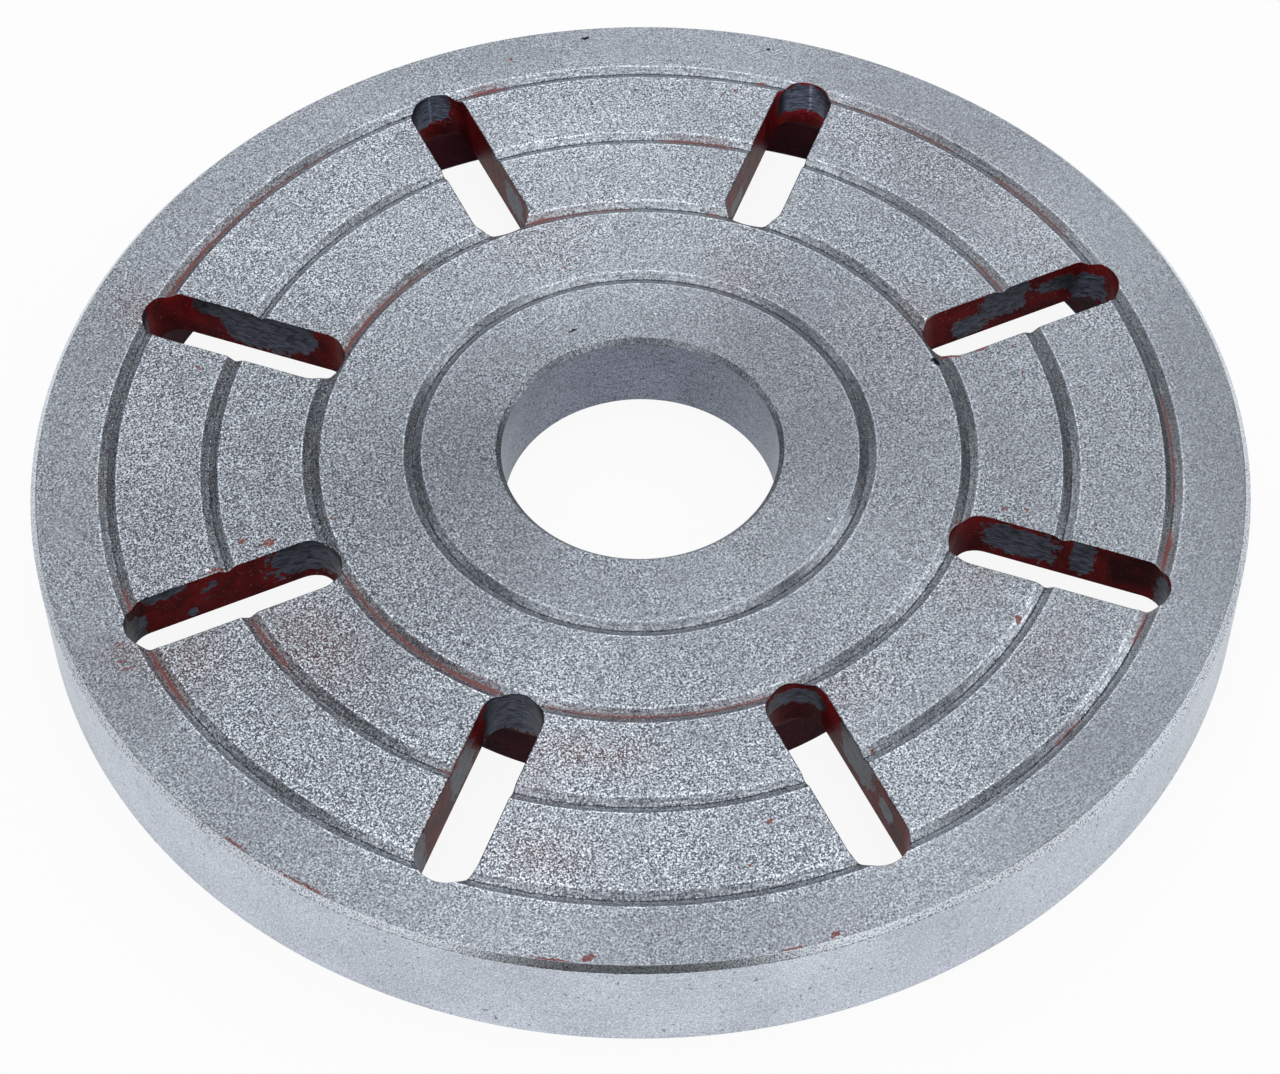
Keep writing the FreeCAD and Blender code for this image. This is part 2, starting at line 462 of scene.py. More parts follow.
def wallPatch(azimuth, radius, depth, at, side, first, last, top, foot):
    # along is the length along the slot's side, the reverse of slotSide; the patch is 1 in its middle, 0 at its rim
    # and negative outside, one less the fourth root of a^4 + b^4, which is a rounded oblong
    step = 360 / slots["count"]
    slot = np.round(azimuth / step)
    local = np.radians(azimuth - slot * step)
    u, w = radius * np.cos(local), radius * np.sin(local)
    inBend = slots["halfWidth"] * np.arctan2(np.abs(w), slots["innerCentre"] - u)
    outBend = slots["halfWidth"] * np.arctan2(u - slots["outerCentre"], np.abs(w))
    along = bend + np.clip(u - slots["innerCentre"], 0, slots["outerCentre"] - slots["innerCentre"])
    along = np.where(u < slots["innerCentre"], inBend, along) + np.where(u > slots["outerCentre"], outBend, 0)
    a = (along - (first + last) / 2) / ((last - first) / 2)
    b = (depth - (top + foot) / 2) / ((foot - top) / 2)
    here = (slot % slots["count"] == at) & ((np.sign(w) == side) | (np.abs(w) < 0.05))
    return np.where(here, 1 - (a ** 4 + b ** 4) ** 0.25, -1)


def bareField(azimuth, radius, depth):
    # the strongest patch counts
    return np.max([wallPatch(azimuth, radius, depth, *row) for row in wearAndPaintedLight["bare"]], axis=0)


def toneField(azimuth, radius, depth):
    # patches add up, each at full strength in its inner half and fading evenly to its rim
    field = np.zeros_like(radius)
    for *row, strength in wearAndPaintedLight["wallDarkAndPaintedLight"]:
        field += strength * np.clip(2 * wallPatch(azimuth, radius, depth, *row), 0, 1)
    return field


def storeWearAndPaintedLight(mesh):
    place = np.empty(len(mesh.vertices) * 3, np.float32)
    mesh.vertices.foreach_get("co", place)
    x, y, z = place.reshape(-1, 3).astype(float).T / mm
    azimuth, radius = np.degrees(np.arctan2(y, x)), np.hypot(x, y)
    fields = {
        "haze": hazeField(azimuth, radius),
        "grooveRed": grooveField(azimuth, radius),
        "bare": bareField(azimuth, radius, plate["height"] - z),
        "wallDarkAndPaintedLight": toneField(azimuth, radius, plate["height"] - z),
    }
    for name, values in fields.items():
        mesh.attributes.new(name, "FLOAT", "POINT").data.foreach_set("value", values.astype(np.float32))


storeWearAndPaintedLight(mesh)
print("wear stored")


def paint(code):
    # an sRGB hex colour as the linear colour that the shader wants
    c = np.array([int(code[i:i + 2], 16) for i in (1, 3, 5)]) / 255
    c = np.where(c <= 0.04045, c / 12.92, ((c + 0.055) / 1.055) ** 2.4)
    return (*c, 1.0)


def add(tree, kind, settings=None, feeds=None):
    # one node: settings go to its properties or, by name or number, to its sockets; feeds link each named socket to a
    # node's first output, or to (node, output)
    node = tree.nodes.new("ShaderNode" + kind)
    for key, value in (settings or {}).items():
        if isinstance(key, str) and hasattr(node, key):
            setattr(node, key, value)
        else:
            node.inputs[key].default_value = value
    for key, source in (feeds or {}).items():
        start, port = source if isinstance(source, tuple) else (source, 0)
        tree.links.new(start.outputs[port], node.inputs[key])
    return node


def newFinish(name):
    material = bpy.data.materials.new(name)
    material.use_nodes = True
    material.node_tree.nodes.clear()
    mesh.materials.append(material)
    return material.node_tree


# Grey cast iron, faced on a lathe and blackened in its graphite pits: a fine pepper-and-salt grain with a soft silver
# sheen that stretches across the turning marks, worn bright along every groove edge, with painted highlights along
# those edges and painted shade in the groove flats.
faced = {
    "dark": "#474a54",
    "light": "#cad2da",
    "grain": 0.25,  # mm, one graphite pit or bright speck; the real ones are about half that and wouldn't show
    "clump": 0.42,  # mm
    "contrast": 2.1,
    "fleck": 1.6,  # above 1 the light flecks stand out more than the pits
    # how strong the grain is: 1 and 2 are where a change starts and ends, 3 and 4 the strength at both
    "patchy": {1: 0.35, 2: 0.65, 3: 0.7, 4: 1.05},  # by the cloud noise
    "hubCalm": {1: 40, 2: 68, 3: 0.62, 4: 1.0},  # mm from the axis
    "rimCalm": {1: 103, 2: 110, 3: 1.0, 4: 0.52},
    "wallCalm": {1: 1.5, 2: 1.85, 3: 0.75, 4: 1.0},  # mm from a groove's middle
    "sideCalm": {1: -0.08, 2: 0.09, 3: 0.78, 4: 1.3},  # metres from the axis towards the coarser half
    "coarserHalf": (-0.99, 0.14, 0),
    # painted sheen: the open iron is painted brighter from hub to rim
    "hubShine": 0.99,  # brightness of the open iron near the hub
    "rimShine": 1.18,
    "shineRun": (35, 100),  # mm from the axis, from the hub's shine to the rim's
    "cloud": 12.0,  # mm
    "drift": 60.0,  # mm
    "rust": "#5f3d3a",
    "red": "#762c24",
    "soot": "#25272b",
    "burr": "#e6eaee",
    "streakLength": 3.0,  # mm along the ring
    "streakWidth": 0.2,
    "streakRadius": 85,  # where a streak has just that length
    "ragged": 0.6,  # mm by which the outline of a nick wanders
    "raggedCells": 1400,  # cells of noise in a metre
    "relief": 0.02,  # mm
    # brightness across a groove, with painted shade darkening its flat and painted highlights along both edges over the
    # burnished wear: distance from its middle in mm, and the brightness there
    "grooveWearAndPaintedLight": ((0.0, 0.13), (0.15, 0.13), (0.24, 0.6), (0.4, 0.68), (0.62, 0.7), (0.85, 0.68), (1.05, 0.6),
                   (1.45, 0.66), (1.7, 1.0), (1.88, 0.95), (2.1, 0.66), (4.0, 0.64)),
}
# small marks on the face: azimuth, radius, half length and half width in mm, turn of the long side from the ring
nicks = {
    "red": (
        (142, 91.3, 0.95, 0.35, 60), (79.6, 112.5, 0.7, 0.35, 0), (53.3, 101.2, 0.6, 0.4, 20),
        (50.6, 105.1, 1.1, 0.4, 0), (83, 49.9, 0.5, 0.3, 0), (-6.2, 79.6, 0.6, 0.35, 10), (-11.4, 78.9, 0.5, 0.3, 0),
        (-38, 72.5, 0.6, 0.4, 70), (-37.3, 77.1, 0.6, 0.4, 80), (-42, 64.4, 0.8, 0.35, 0),
        (-55.8, 83.6, 1.1, 0.7, 30), (-84.4, 84.4, 0.45, 0.35, 0), (173.5, 75.7, 1.5, 0.9, 100),
        (172.1, 80.6, 0.9, 0.5, 80), (175.6, 87.4, 2.2, 0.45, 92), (171.6, 62.6, 0.4, 0.35, 0),
        (-100.1, 91.7, 0.9, 0.45, 40), (-103.6, 100, 0.5, 0.35, 0), (-119.4, 117.7, 1.5, 0.75, 24),
        (-97.9, 117.8, 1.3, 0.5, 20), (-101.7, 118.6, 2.4, 0.28, 0), (-4.6, 66.7, 2.6, 0.45, 61),
        (-5, 73.4, 1.6, 0.3, 95), (-145.8, 118.4, 6.0, 0.25, 0), (-153.3, 118.5, 3.1, 0.3, 0),
        (-122.6, 118.6, 4.2, 0.25, 0), (-176.8, 110.6, 1.6, 0.25, 80), (-178.7, 109.7, 1.3, 0.2, 95),
        (-175.7, 110.4, 1.5, 0.22, 75),
    ),
    "soot": (
        (93.9, 104.7, 0.5, 0.45, 0), (71, 115.9, 1.1, 0.35, 15), (65.6, 99.5, 0.4, 0.3, 0), (51, 115.1, 0.5, 0.4, 0),
        (-4.9, 63.4, 1.3, 0.7, 20), (89.3, 33.3, 1.3, 0.25, 10),
    ),
    "burr": ((-5.6, 62.6, 0.5, 0.25, 30), (175.2, 88.6, 0.6, 0.3, 90), (60, 35, 0.35, 0.3, 0), (-52, 41, 0.3, 0.3, 0)),
}


def makeFacedIron(v):
    tree = newFinish("castIronFaced")
    place = (add(tree, "TexCoord"), "Object")
    flat = add(tree, "VectorMath", {"operation": "MULTIPLY", 1: (1000, 1000, 0)}, {0: place})
    radius = (add(tree, "VectorMath", {"operation": "LENGTH"}, {0: flat}), "Value")
    facing = add(tree, "VectorMath", {"operation": "NORMALIZE"}, {0: flat})
    # distance from the nearest groove's middle, outwards positive: the grooves are evenly spaced
    halfPitch = (plate["grooves"][1] - plate["grooves"][0]) / 2
    past = add(tree, "Math", {"operation": "SUBTRACT", 1: plate["grooves"][0]}, {0: radius})
    beside = add(tree, "Math", {"operation": "WRAP", 1: halfPitch, 2: -halfPitch}, {0: past})
    away = add(tree, "Math", {"operation": "ABSOLUTE"}, {0: beside})

    # grain, stronger over one half of the outer lands than on the other half, the hub and the rim
    specks = add(tree, "TexVoronoi", {"Scale": 1000 / v["grain"]}, {"Vector": place})
    clumps = add(tree, "TexNoise", {"Scale": 1000 / v["clump"], "Detail": 1, "Roughness": 0.5}, {"Vector": place})
    clumps = add(tree, "Math", {"operation": "MULTIPLY_ADD", 1: 0.9, 2: -0.2}, {0: clumps})
    grain = add(tree, "Math", {"operation": "MULTIPLY_ADD", 1: 0.5}, {0: (specks, "Color"), 2: clumps})
    cloud = add(tree, "TexNoise", {"Scale": 1000 / v["cloud"], "Detail": 2, "Roughness": 0.5}, {"Vector": place})
    drift = add(tree, "TexNoise", {"Scale": 1000 / v["drift"], "Detail": 1, "Roughness": 0.5}, {"Vector": place})
    across = add(tree, "VectorMath", {"operation": "DOT_PRODUCT", 1: v["coarserHalf"]}, {0: place})
    strength = add(tree, "MapRange", v["patchy"], {0: cloud})
    calms = (("hubCalm", radius), ("rimCalm", radius), ("sideCalm", (across, "Value")), ("wallCalm", away))
    for name, measure in calms:
        calm = add(tree, "MapRange", v[name], {0: measure})
        strength = add(tree, "Math", {"operation": "MULTIPLY"}, {0: strength, 1: calm})
    pits = add(tree, "Math", {"operation": "MULTIPLY_ADD", 1: v["contrast"], 2: -v["contrast"] / 2}, {0: grain})
    pits = add(tree, "Math", {"operation": "MULTIPLY"}, {0: pits, 1: strength})

    # turning marks: noise drawn out along the ring, where the direction from the axis stands in for the angle
    streaks = v["streakRadius"] / v["streakLength"]
    ringPlace = add(tree, "VectorMath", {"operation": "MULTIPLY", 1: (streaks, streaks, 0)}, {0: facing})
    ringStep = add(tree, "Math", {"operation": "DIVIDE", 1: v["streakWidth"]}, {0: radius})
    ringStep = add(tree, "CombineXYZ", {}, {"Z": ringStep})
    ringPlace = add(tree, "VectorMath", {"operation": "ADD"}, {0: ringPlace, 1: ringStep})
    streak = add(tree, "TexNoise", {"Scale": 1.0, "Detail": 1, "Roughness": 0.5}, {"Vector": ringPlace})
    inGroove = add(tree, "MapRange", {1: 1.6, 2: 1.9, 3: 0.8, 4: 0.22}, {0: away})
    lines = add(tree, "Math", {"operation": "SUBTRACT", 1: 0.5}, {0: streak})
    lines = add(tree, "Math", {"operation": "MULTIPLY"}, {0: lines, 1: inGroove})
    tone = add(tree, "MapRange", {1: 0.3, 2: 0.7, 3: 0.44, 4: 0.56}, {0: drift})
    tone = add(tree, "Math", {"operation": "ADD"}, {0: tone, 1: lines})
    tone = add(tree, "Math", {"operation": "ADD", "use_clamp": True}, {0: tone, 1: pits})
    fleck = add(tree, "Math", {"operation": "POWER", 1: v["fleck"]}, {0: tone})
    iron = add(tree, "Mix", {"data_type": "RGBA", 6: paint(v["dark"]), 7: paint(v["light"])}, {0: fleck})

    # grooves: painted shade in the flat, burnished lines beside it, burnished edges brightened further by painted
    # highlights, on a painted sheen that grows from hub to rim
    wander = add(tree, "Math", {"operation": "MULTIPLY_ADD", 1: 0.24, 2: -0.12}, {0: grain})
    wander = add(tree, "Math", {"operation": "ADD"}, {0: away, 1: wander})
    widest, landLevel = v["grooveWearAndPaintedLight"][-1]
    part = add(tree, "MapRange", {1: 0, 2: widest, 3: 0, 4: 1}, {0: wander})
    groovePaintedLightAndWear = add(tree, "ValToRGB", {}, {0: part})
    stops = groovePaintedLightAndWear.color_ramp.elements
    for i, (distance, level) in enumerate(v["grooveWearAndPaintedLight"]):
        stop = stops[i] if i < 2 else stops.new(distance / widest)
        stop.position, stop.color = distance / widest, (level, level, level, 1)
    # the iron is painted brighter from the hub's shine to the rim's: a painted sheen
    start, end = v["shineRun"]
    outward = {1: start, 2: end, 3: v["hubShine"] / landLevel, 4: v["rimShine"] / landLevel}
    outward = add(tree, "MapRange", outward, {0: radius})
    shine = add(tree, "Math", {"operation": "MULTIPLY"}, {0: groovePaintedLightAndWear, 1: outward})
    iron = add(tree, "VectorMath", {"operation": "SCALE"}, {0: (iron, 2), "Scale": shine})

    # rust haze takes the dark specks; paint lies in the grooves and spreads up their outer wall where there is most
    hazeHere = add(tree, "Attribute", {"attribute_name": "haze"})
    dark = add(tree, "MapRange", {1: 0.3, 2: 0.62, 3: 1.0, 4: 0.12}, {0: tone})
    rust = add(tree, "Math", {"operation": "MULTIPLY", "use_clamp": True}, {0: (hazeHere, "Fac"), 1: dark})
    iron = add(tree, "Mix", {"data_type": "RGBA", 7: paint(v["rust"])}, {0: rust, 6: iron})
    redHere = (add(tree, "Attribute", {"attribute_name": "grooveRed"}), "Fac")
    reach = add(tree, "Math", {"operation": "MULTIPLY_ADD", 1: 0.45, 2: 0.1}, {0: redHere})
    ragged = add(tree, "Math", {"operation": "MULTIPLY_ADD", 1: 1.6, 2: -0.8}, {0: streak})
    reach = add(tree, "Math", {"operation": "ADD"}, {0: reach, 1: ragged})
    under = add(tree, "Math", {"operation": "SUBTRACT"}, {0: reach, 1: beside})
    upTo = add(tree, "MapRange", {1: 0, 2: 0.25}, {0: under})
    fromFoot = add(tree, "MapRange", {1: -0.7, 2: -0.3}, {0: beside})
    present = add(tree, "MapRange", {1: 0.08, 2: 0.3}, {0: redHere})
    thick = add(tree, "MapRange", {1: 0.4, 2: 1.1, 3: 0.5, 4: 0.9}, {0: redHere})
    red = upTo
    for share in (fromFoot, present, thick):
        red = add(tree, "Math", {"operation": "MULTIPLY"}, {0: red, 1: share})
    onWall = add(tree, "MapRange", {1: 1.45, 2: 1.8, 3: 0.55, 4: 0}, {0: away})
    film = add(tree, "Math", {"operation": "MULTIPLY"}, {0: onWall, 1: redHere})
    patches = add(tree, "MapRange", {1: 0.4, 2: 0.6, 3: 0.25, 4: 1.0}, {0: streak})
    film = add(tree, "Math", {"operation": "MULTIPLY"}, {0: film, 1: patches})
    iron = add(tree, "Mix", {"data_type": "RGBA", 7: paint(v["rust"])}, {0: film, 6: (iron, 2)})

    # nicks: ovals in a place that is pushed about, so that their outline is ragged
    push = add(tree, "TexNoise", {"Scale": v["raggedCells"], "Detail": 1}, {"Vector": place})
    most = v["ragged"] * mm
    push = add(tree, "VectorMath", {"operation": "MULTIPLY_ADD", 1: (2 * most, 2 * most, 0), 2: (-most, -most, 0)},
               {0: (push, "Color")})
    pushed = add(tree, "VectorMath", {"operation": "ADD"}, {0: place, 1: push})
    covers = {}
    for kind, rows in nicks.items():
        cover = None
        for azimuth, r, length, width, askew in rows:
            a = np.radians(azimuth)
            local = add(tree, "Mapping", {
                "vector_type": "TEXTURE",
                "Location": (r * np.cos(a) * mm, r * np.sin(a) * mm, plate["height"] * mm),
                "Rotation": (0, 0, a + np.radians(90 + askew)),
                "Scale": (length * mm, width * mm, 1),
            }, {"Vector": pushed})
            far = (add(tree, "VectorMath", {"operation": "LENGTH"}, {0: local}), "Value")
            one = add(tree, "MapRange", {1: 1.0, 2: 0.8}, {0: far})
            cover = one if cover is None else add(tree, "Math", {"operation": "MAXIMUM"}, {0: cover, 1: one})
        covers[kind] = cover
    broken = add(tree, "MapRange", {1: 0.44, 2: 0.62, 3: 1.0, 4: 0.75}, {0: grain})
    smear = add(tree, "Math", {"operation": "MULTIPLY"}, {0: covers["red"], 1: broken})
    red = add(tree, "Math", {"operation": "MAXIMUM"}, {0: red, 1: smear})
    for kind, cover in (("red", red), ("soot", covers["soot"]), ("burr", covers["burr"])):
        iron = add(tree, "Mix", {"data_type": "RGBA", 7: paint(v[kind])}, {0: cover, 6: (iron, 2)})

    metal = add(tree, "MapRange", {1: 0, 2: 0.6, 3: 1.0, 4: 0.1}, {0: red})
    rough = add(tree, "MapRange", {1: 0.2, 2: 0.8, 3: 0.45, 4: 0.37}, {0: tone})
    burnish = add(tree, "MapRange", {1: 1.5, 2: 1.9, 3: -0.08, 4: 0}, {0: away})
    rough = add(tree, "Math", {"operation": "ADD"}, {0: rough, 1: burnish})
    relief = add(tree, "Bump", {"Strength": 0.2, "Distance": v["relief"] * mm}, {"Height": tone})
    way = add(tree, "Tangent", {"direction_type": "RADIAL", "axis": "Z"})
    surface = add(tree, "BsdfPrincipled", {"Anisotropic": 0.85, "Anisotropic Rotation": 0.25},
                  {"Base Color": (iron, 2), "Metallic": metal, "Roughness": rough, "Normal": relief, "Tangent": way})
    add(tree, "OutputMaterial", {}, {"Surface": surface})


# Grey cast iron, turned fine and left bare: the lightest of the finishes, with a faint grain, thin turning lines and a
# few open pits. The bored holes have the same finish with more pits, painted darker: painted shade inside the holes.
turned = {
    "rim": {"name": "castIronTurned", "dark": "#a2a9b4", "light": "#dde4ee", "grain": 0.34, "contrast": 2.6,
            "lines": 0.4, "rough": 0.45, "pits": 0.775, "pit": "#3a3d43"},
    "bore": {"name": "castIronBoredShaded", "dark": "#555a66", "light": "#8e95a3", "grain": 0.34, "contrast": 2.4,
             "lines": 0.9, "rough": 0.42, "pits": 0.74, "pit": "#3a3d43"},
    "lineGap": 0.3,  # mm between two turning lines
    "lineTurn": 9,  # cells of noise along a line in one radius
    "relief": 0.02,  # mm
    "pitCells": 1100,  # cells of noise in a metre; a pit is about half a millimetre wide
    "cloudCells": 70,
}
chamferWear = {"dirt": "#474b58", "burnished": "#e2e8f0", "rough": 0.26, "footLine": "#9aa0a8"}


def makeTurnedIron(v, c=None):
    tree = newFinish(v["name"])
    place = (add(tree, "TexCoord"), "Object")
    flat = add(tree, "VectorMath", {"operation": "MULTIPLY", 1: (1000, 1000, 0)}, {0: place})
    facing = add(tree, "VectorMath", {"operation": "NORMALIZE"}, {0: flat})
    radius = (add(tree, "VectorMath", {"operation": "LENGTH"}, {0: flat}), "Value")
    parted = add(tree, "SeparateXYZ", {}, {0: place})
    height = add(tree, "Math", {"operation": "MULTIPLY", 1: 1000}, {0: (parted, "Z")})
    grain = add(tree, "TexNoise", {"Scale": 1000 / v["grain"], "Detail": 1, "Roughness": 0.5}, {"Vector": place})
    cloud = add(tree, "TexNoise", {"Scale": turned["cloudCells"], "Detail": 2, "Roughness": 0.5}, {"Vector": place})
    # turning lines run round the axis on walls and flats alike, because height and radius add up
    lineTurn = (turned["lineTurn"], turned["lineTurn"], 0)
    ringPlace = add(tree, "VectorMath", {"operation": "MULTIPLY", 1: lineTurn}, {0: facing})
    ringStep = add(tree, "Math", {"operation": "ADD"}, {0: height, 1: radius})
    ringStep = add(tree, "Math", {"operation": "DIVIDE", 1: turned["lineGap"]}, {0: ringStep})
    ringStep = add(tree, "CombineXYZ", {}, {"Z": ringStep})
    ringPlace = add(tree, "VectorMath", {"operation": "ADD"}, {0: ringPlace, 1: ringStep})
    lines = add(tree, "TexNoise", {"Scale": 1.0, "Detail": 2, "Roughness": 0.5}, {"Vector": ringPlace})
    lines = add(tree, "Math", {"operation": "MULTIPLY_ADD", 1: v["lines"], 2: -v["lines"] / 2}, {0: lines})
    pepper = add(tree, "Math", {"operation": "MULTIPLY_ADD", 1: v["contrast"], 2: 0.5 - v["contrast"] / 2}, {0: grain})
    tone = add(tree, "Math", {"operation": "ADD"}, {0: pepper, 1: lines})
    drift = add(tree, "Math", {"operation": "MULTIPLY_ADD", 1: 0.6, 2: -0.3}, {0: cloud})
    tone = add(tree, "Math", {"operation": "ADD", "use_clamp": True}, {0: tone, 1: drift})
    iron = add(tree, "Mix", {"data_type": "RGBA", 6: paint(v["dark"]), 7: paint(v["light"])}, {0: tone})
    spots = add(tree, "TexNoise", {"Scale": turned["pitCells"], "Detail": 0}, {"Vector": place})
    openPit = add(tree, "MapRange", {1: v["pits"], 2: v["pits"] + 0.03, 3: 0, 4: 0.6}, {0: spots})
    if c:
        # the face's outer chamfer is smoother than the rim and burnished in flecks, with dark dirt along its lower
        # edge, and the foot of the rim has a thin dark line
        top = plate["height"]
        onChamfer = add(tree, "MapRange", {1: top - 1.4, 2: top - 1.15}, {0: height})
        flecks = add(tree, "MapRange", {1: 0.4, 2: 0.6, 3: 0.1, 4: 0.9}, {0: grain})
        burnished = add(tree, "Math", {"operation": "MULTIPLY"}, {0: onChamfer, 1: flecks})
        iron = add(tree, "Mix", {"data_type": "RGBA", 7: paint(c["burnished"])}, {0: burnished, 6: (iron, 2)})
        lowEdge = add(tree, "MapRange", {1: top - 1.3, 2: top - 0.9, 3: 0.45, 4: 0}, {0: height})
        ragged = add(tree, "Math", {"operation": "MULTIPLY_ADD", 1: -2.5, 2: 0.95}, {0: grain})
        dirt = add(tree, "Math", {"operation": "MULTIPLY_ADD", 1: 1.3}, {0: lowEdge, 2: ragged})
        dirt = add(tree, "MapRange", {1: 0.0, 2: 1.0, 3: 0, 4: 0.92}, {0: dirt})
        dirt = add(tree, "Math", {"operation": "MULTIPLY"}, {0: dirt, 1: onChamfer})
        iron = add(tree, "Mix", {"data_type": "RGBA", 7: paint(c["dirt"])}, {0: dirt, 6: (iron, 2)})
        foot = add(tree, "MapRange", {1: 0.2, 2: 0.7, 3: 0.45, 4: 0}, {0: height})
        iron = add(tree, "Mix", {"data_type": "RGBA", 7: paint(c["footLine"])}, {0: foot, 6: (iron, 2)})
    iron = add(tree, "Mix", {"data_type": "RGBA", 7: paint(v["pit"])}, {0: openPit, 6: (iron, 2)})
    relief = add(tree, "Bump", {"Strength": 0.5, "Distance": turned["relief"] * mm}, {"Height": tone})
    feeds = {"Base Color": (iron, 2), "Normal": relief}
    if c:
        feeds["Roughness"] = add(tree, "MapRange", {1: 0, 2: 1, 3: v["rough"], 4: c["rough"]}, {0: onChamfer})
    surface = add(tree, "BsdfPrincipled", {"Metallic": 1.0, "Roughness": v["rough"]}, feeds)
    add(tree, "OutputMaterial", {}, {"Surface": surface})


# Oil paint brushed over the raw casting before machining, oxblood red: glossy on the slot walls, where the cutter and
# the clamping bolts have bared blue-grey iron with drawn scratches and a ragged paint edge.
coat = {
    "light": "#801e22",
    "deep": "#4b1014",
    "dust": "#8e5a5a",
    # the bared iron is painted far darker than the faced iron: painted shade inside the slots
    "shadedIronDark": "#14161d",
    "shadedIronLight": "#4d5362",
    "chip": 1.3,  # mm between the bumps of the paint edge
    "pool": 6.25,  # mm, where the brush left more paint
    "scratch": (520, 520, 5200),  # cells of noise in a metre: 2 mm long and 0.2 mm apart in height
    "gouge": (420, 420, 1100),
    "dots": 2400,  # of dust
    "film": 0.06,  # mm of paint
    "toneBase": 3.0,  # a stored tone of 1 is this many times as bright
}


def makeSlotPaint(v):
    tree = newFinish("castingPaintChipped")
    place = (add(tree, "TexCoord"), "Object")
    field = (add(tree, "Attribute", {"attribute_name": "bare"}), "Fac")
    edge = add(tree, "TexNoise", {"Scale": 1000 / v["chip"], "Detail": 3, "Roughness": 0.55}, {"Vector": place})
    edge = add(tree, "Math", {"operation": "MULTIPLY_ADD", 1: 1.3, 2: -0.65}, {0: edge})
    field = add(tree, "Math", {"operation": "ADD"}, {0: field, 1: edge})
    bare = add(tree, "MapRange", {1: 0.0, 2: 0.07}, {0: field})
    # scratches run along the wall: the pattern is stretched level and packed in height
    drawn = add(tree, "Mapping", {"Scale": v["scratch"]}, {"Vector": place})
    scratch = add(tree, "TexNoise", {"Scale": 1.0, "Detail": 3, "Roughness": 0.6, "Distortion": 0.3}, {"Vector": drawn})
    gouge = add(tree, "Mapping", {"Scale": v["gouge"], "Rotation": (0, 0, 0.4)}, {"Vector": place})
    gouge = add(tree, "TexNoise", {"Scale": 1.0, "Detail": 2, "Roughness": 0.6}, {"Vector": gouge})
    ironTone = add(tree, "MapRange", {1: 0.35, 2: 0.68}, {0: scratch})
    deepCut = add(tree, "MapRange", {1: 0.38, 2: 0.5, 3: 0.25, 4: 1.0}, {0: gouge})
    ironTone = add(tree, "Math", {"operation": "MULTIPLY"}, {0: ironTone, 1: deepCut})
    iron = add(tree, "Mix", {"data_type": "RGBA", 6: paint(v["shadedIronDark"]), 7: paint(v["shadedIronLight"])}, {0: ironTone})
    pool = add(tree, "TexNoise", {"Scale": 1000 / v["pool"], "Detail": 2, "Roughness": 0.5}, {"Vector": place})
    poolTone = add(tree, "MapRange", {1: 0.35, 2: 0.65}, {0: pool})
    film = add(tree, "Mix", {"data_type": "RGBA", 6: paint(v["deep"]), 7: paint(v["light"])}, {0: poolTone})
    dots = add(tree, "TexNoise", {"Scale": v["dots"], "Detail": 0}, {"Vector": place})
    dots = add(tree, "MapRange", {1: 0.74, 2: 0.8, 3: 0, 4: 0.7}, {0: dots})
    scored = add(tree, "MapRange", {1: 0.66, 2: 0.74, 3: 0, 4: 0.5}, {0: scratch})
    dust = add(tree, "Math", {"operation": "MAXIMUM"}, {0: dots, 1: scored})
    film = add(tree, "Mix", {"data_type": "RGBA", 7: paint(v["dust"])}, {0: dust, 6: (film, 2)})
    colour = add(tree, "Mix", {"data_type": "RGBA"}, {0: bare, 6: (film, 2), 7: (iron, 2)})
    # darker patches and painted light: the base to the power of the stored tone, uneven with the gouges
    uneven = add(tree, "MapRange", {1: 0.35, 2: 0.6, 3: 1.3, 4: 0.6}, {0: gouge})
    toneHere = (add(tree, "Attribute", {"attribute_name": "wallDarkAndPaintedLight"}), "Fac")
    toned = add(tree, "Math", {"operation": "MULTIPLY"}, {0: toneHere, 1: uneven})
    toned = add(tree, "Math", {"operation": "POWER", 0: v["toneBase"]}, {1: toned})
    colour = add(tree, "VectorMath", {"operation": "SCALE"}, {0: (colour, 2), "Scale": toned})
    metal = add(tree, "Math", {"operation": "MULTIPLY", 1: 0.9}, {0: bare})
    rough = add(tree, "MapRange", {1: 0, 2: 1, 3: 0.3, 4: 0.42}, {0: bare})
    # the film's own thickness, its brush waves and the scratches in the iron
    step = add(tree, "MapRange", {1: 0, 2: 1, 3: v["film"], 4: 0}, {0: bare})
    wave = add(tree, "Math", {"operation": "MULTIPLY_ADD", 1: 0.12, 2: 0}, {0: pool, 2: step})
    wave = add(tree, "Math", {"operation": "MULTIPLY_ADD", 1: 0.03}, {0: scratch, 2: wave})
    relief = add(tree, "Bump", {"Strength": 0.8, "Distance": mm}, {"Height": wave})
    surface = add(tree, "BsdfPrincipled", {"Specular IOR Level": 0.02},
                  {"Base Color": colour, "Metallic": metal, "Roughness": rough, "Normal": relief})
    add(tree, "OutputMaterial", {}, {"Surface": surface})


# The same paint on the raw sand-cast recess, dull and dusty over the sand's grain, and painted darker than on the slot
# walls: painted shade in the recess.
recess = {
    "deep": "#35181f",
    "light": "#5c2933",
    "dust": "#54444a",
    "sand": 1.1,  # mm
    "relief": 0.15,  # mm
    "poolCells": 60,  # cells of noise in a metre
}


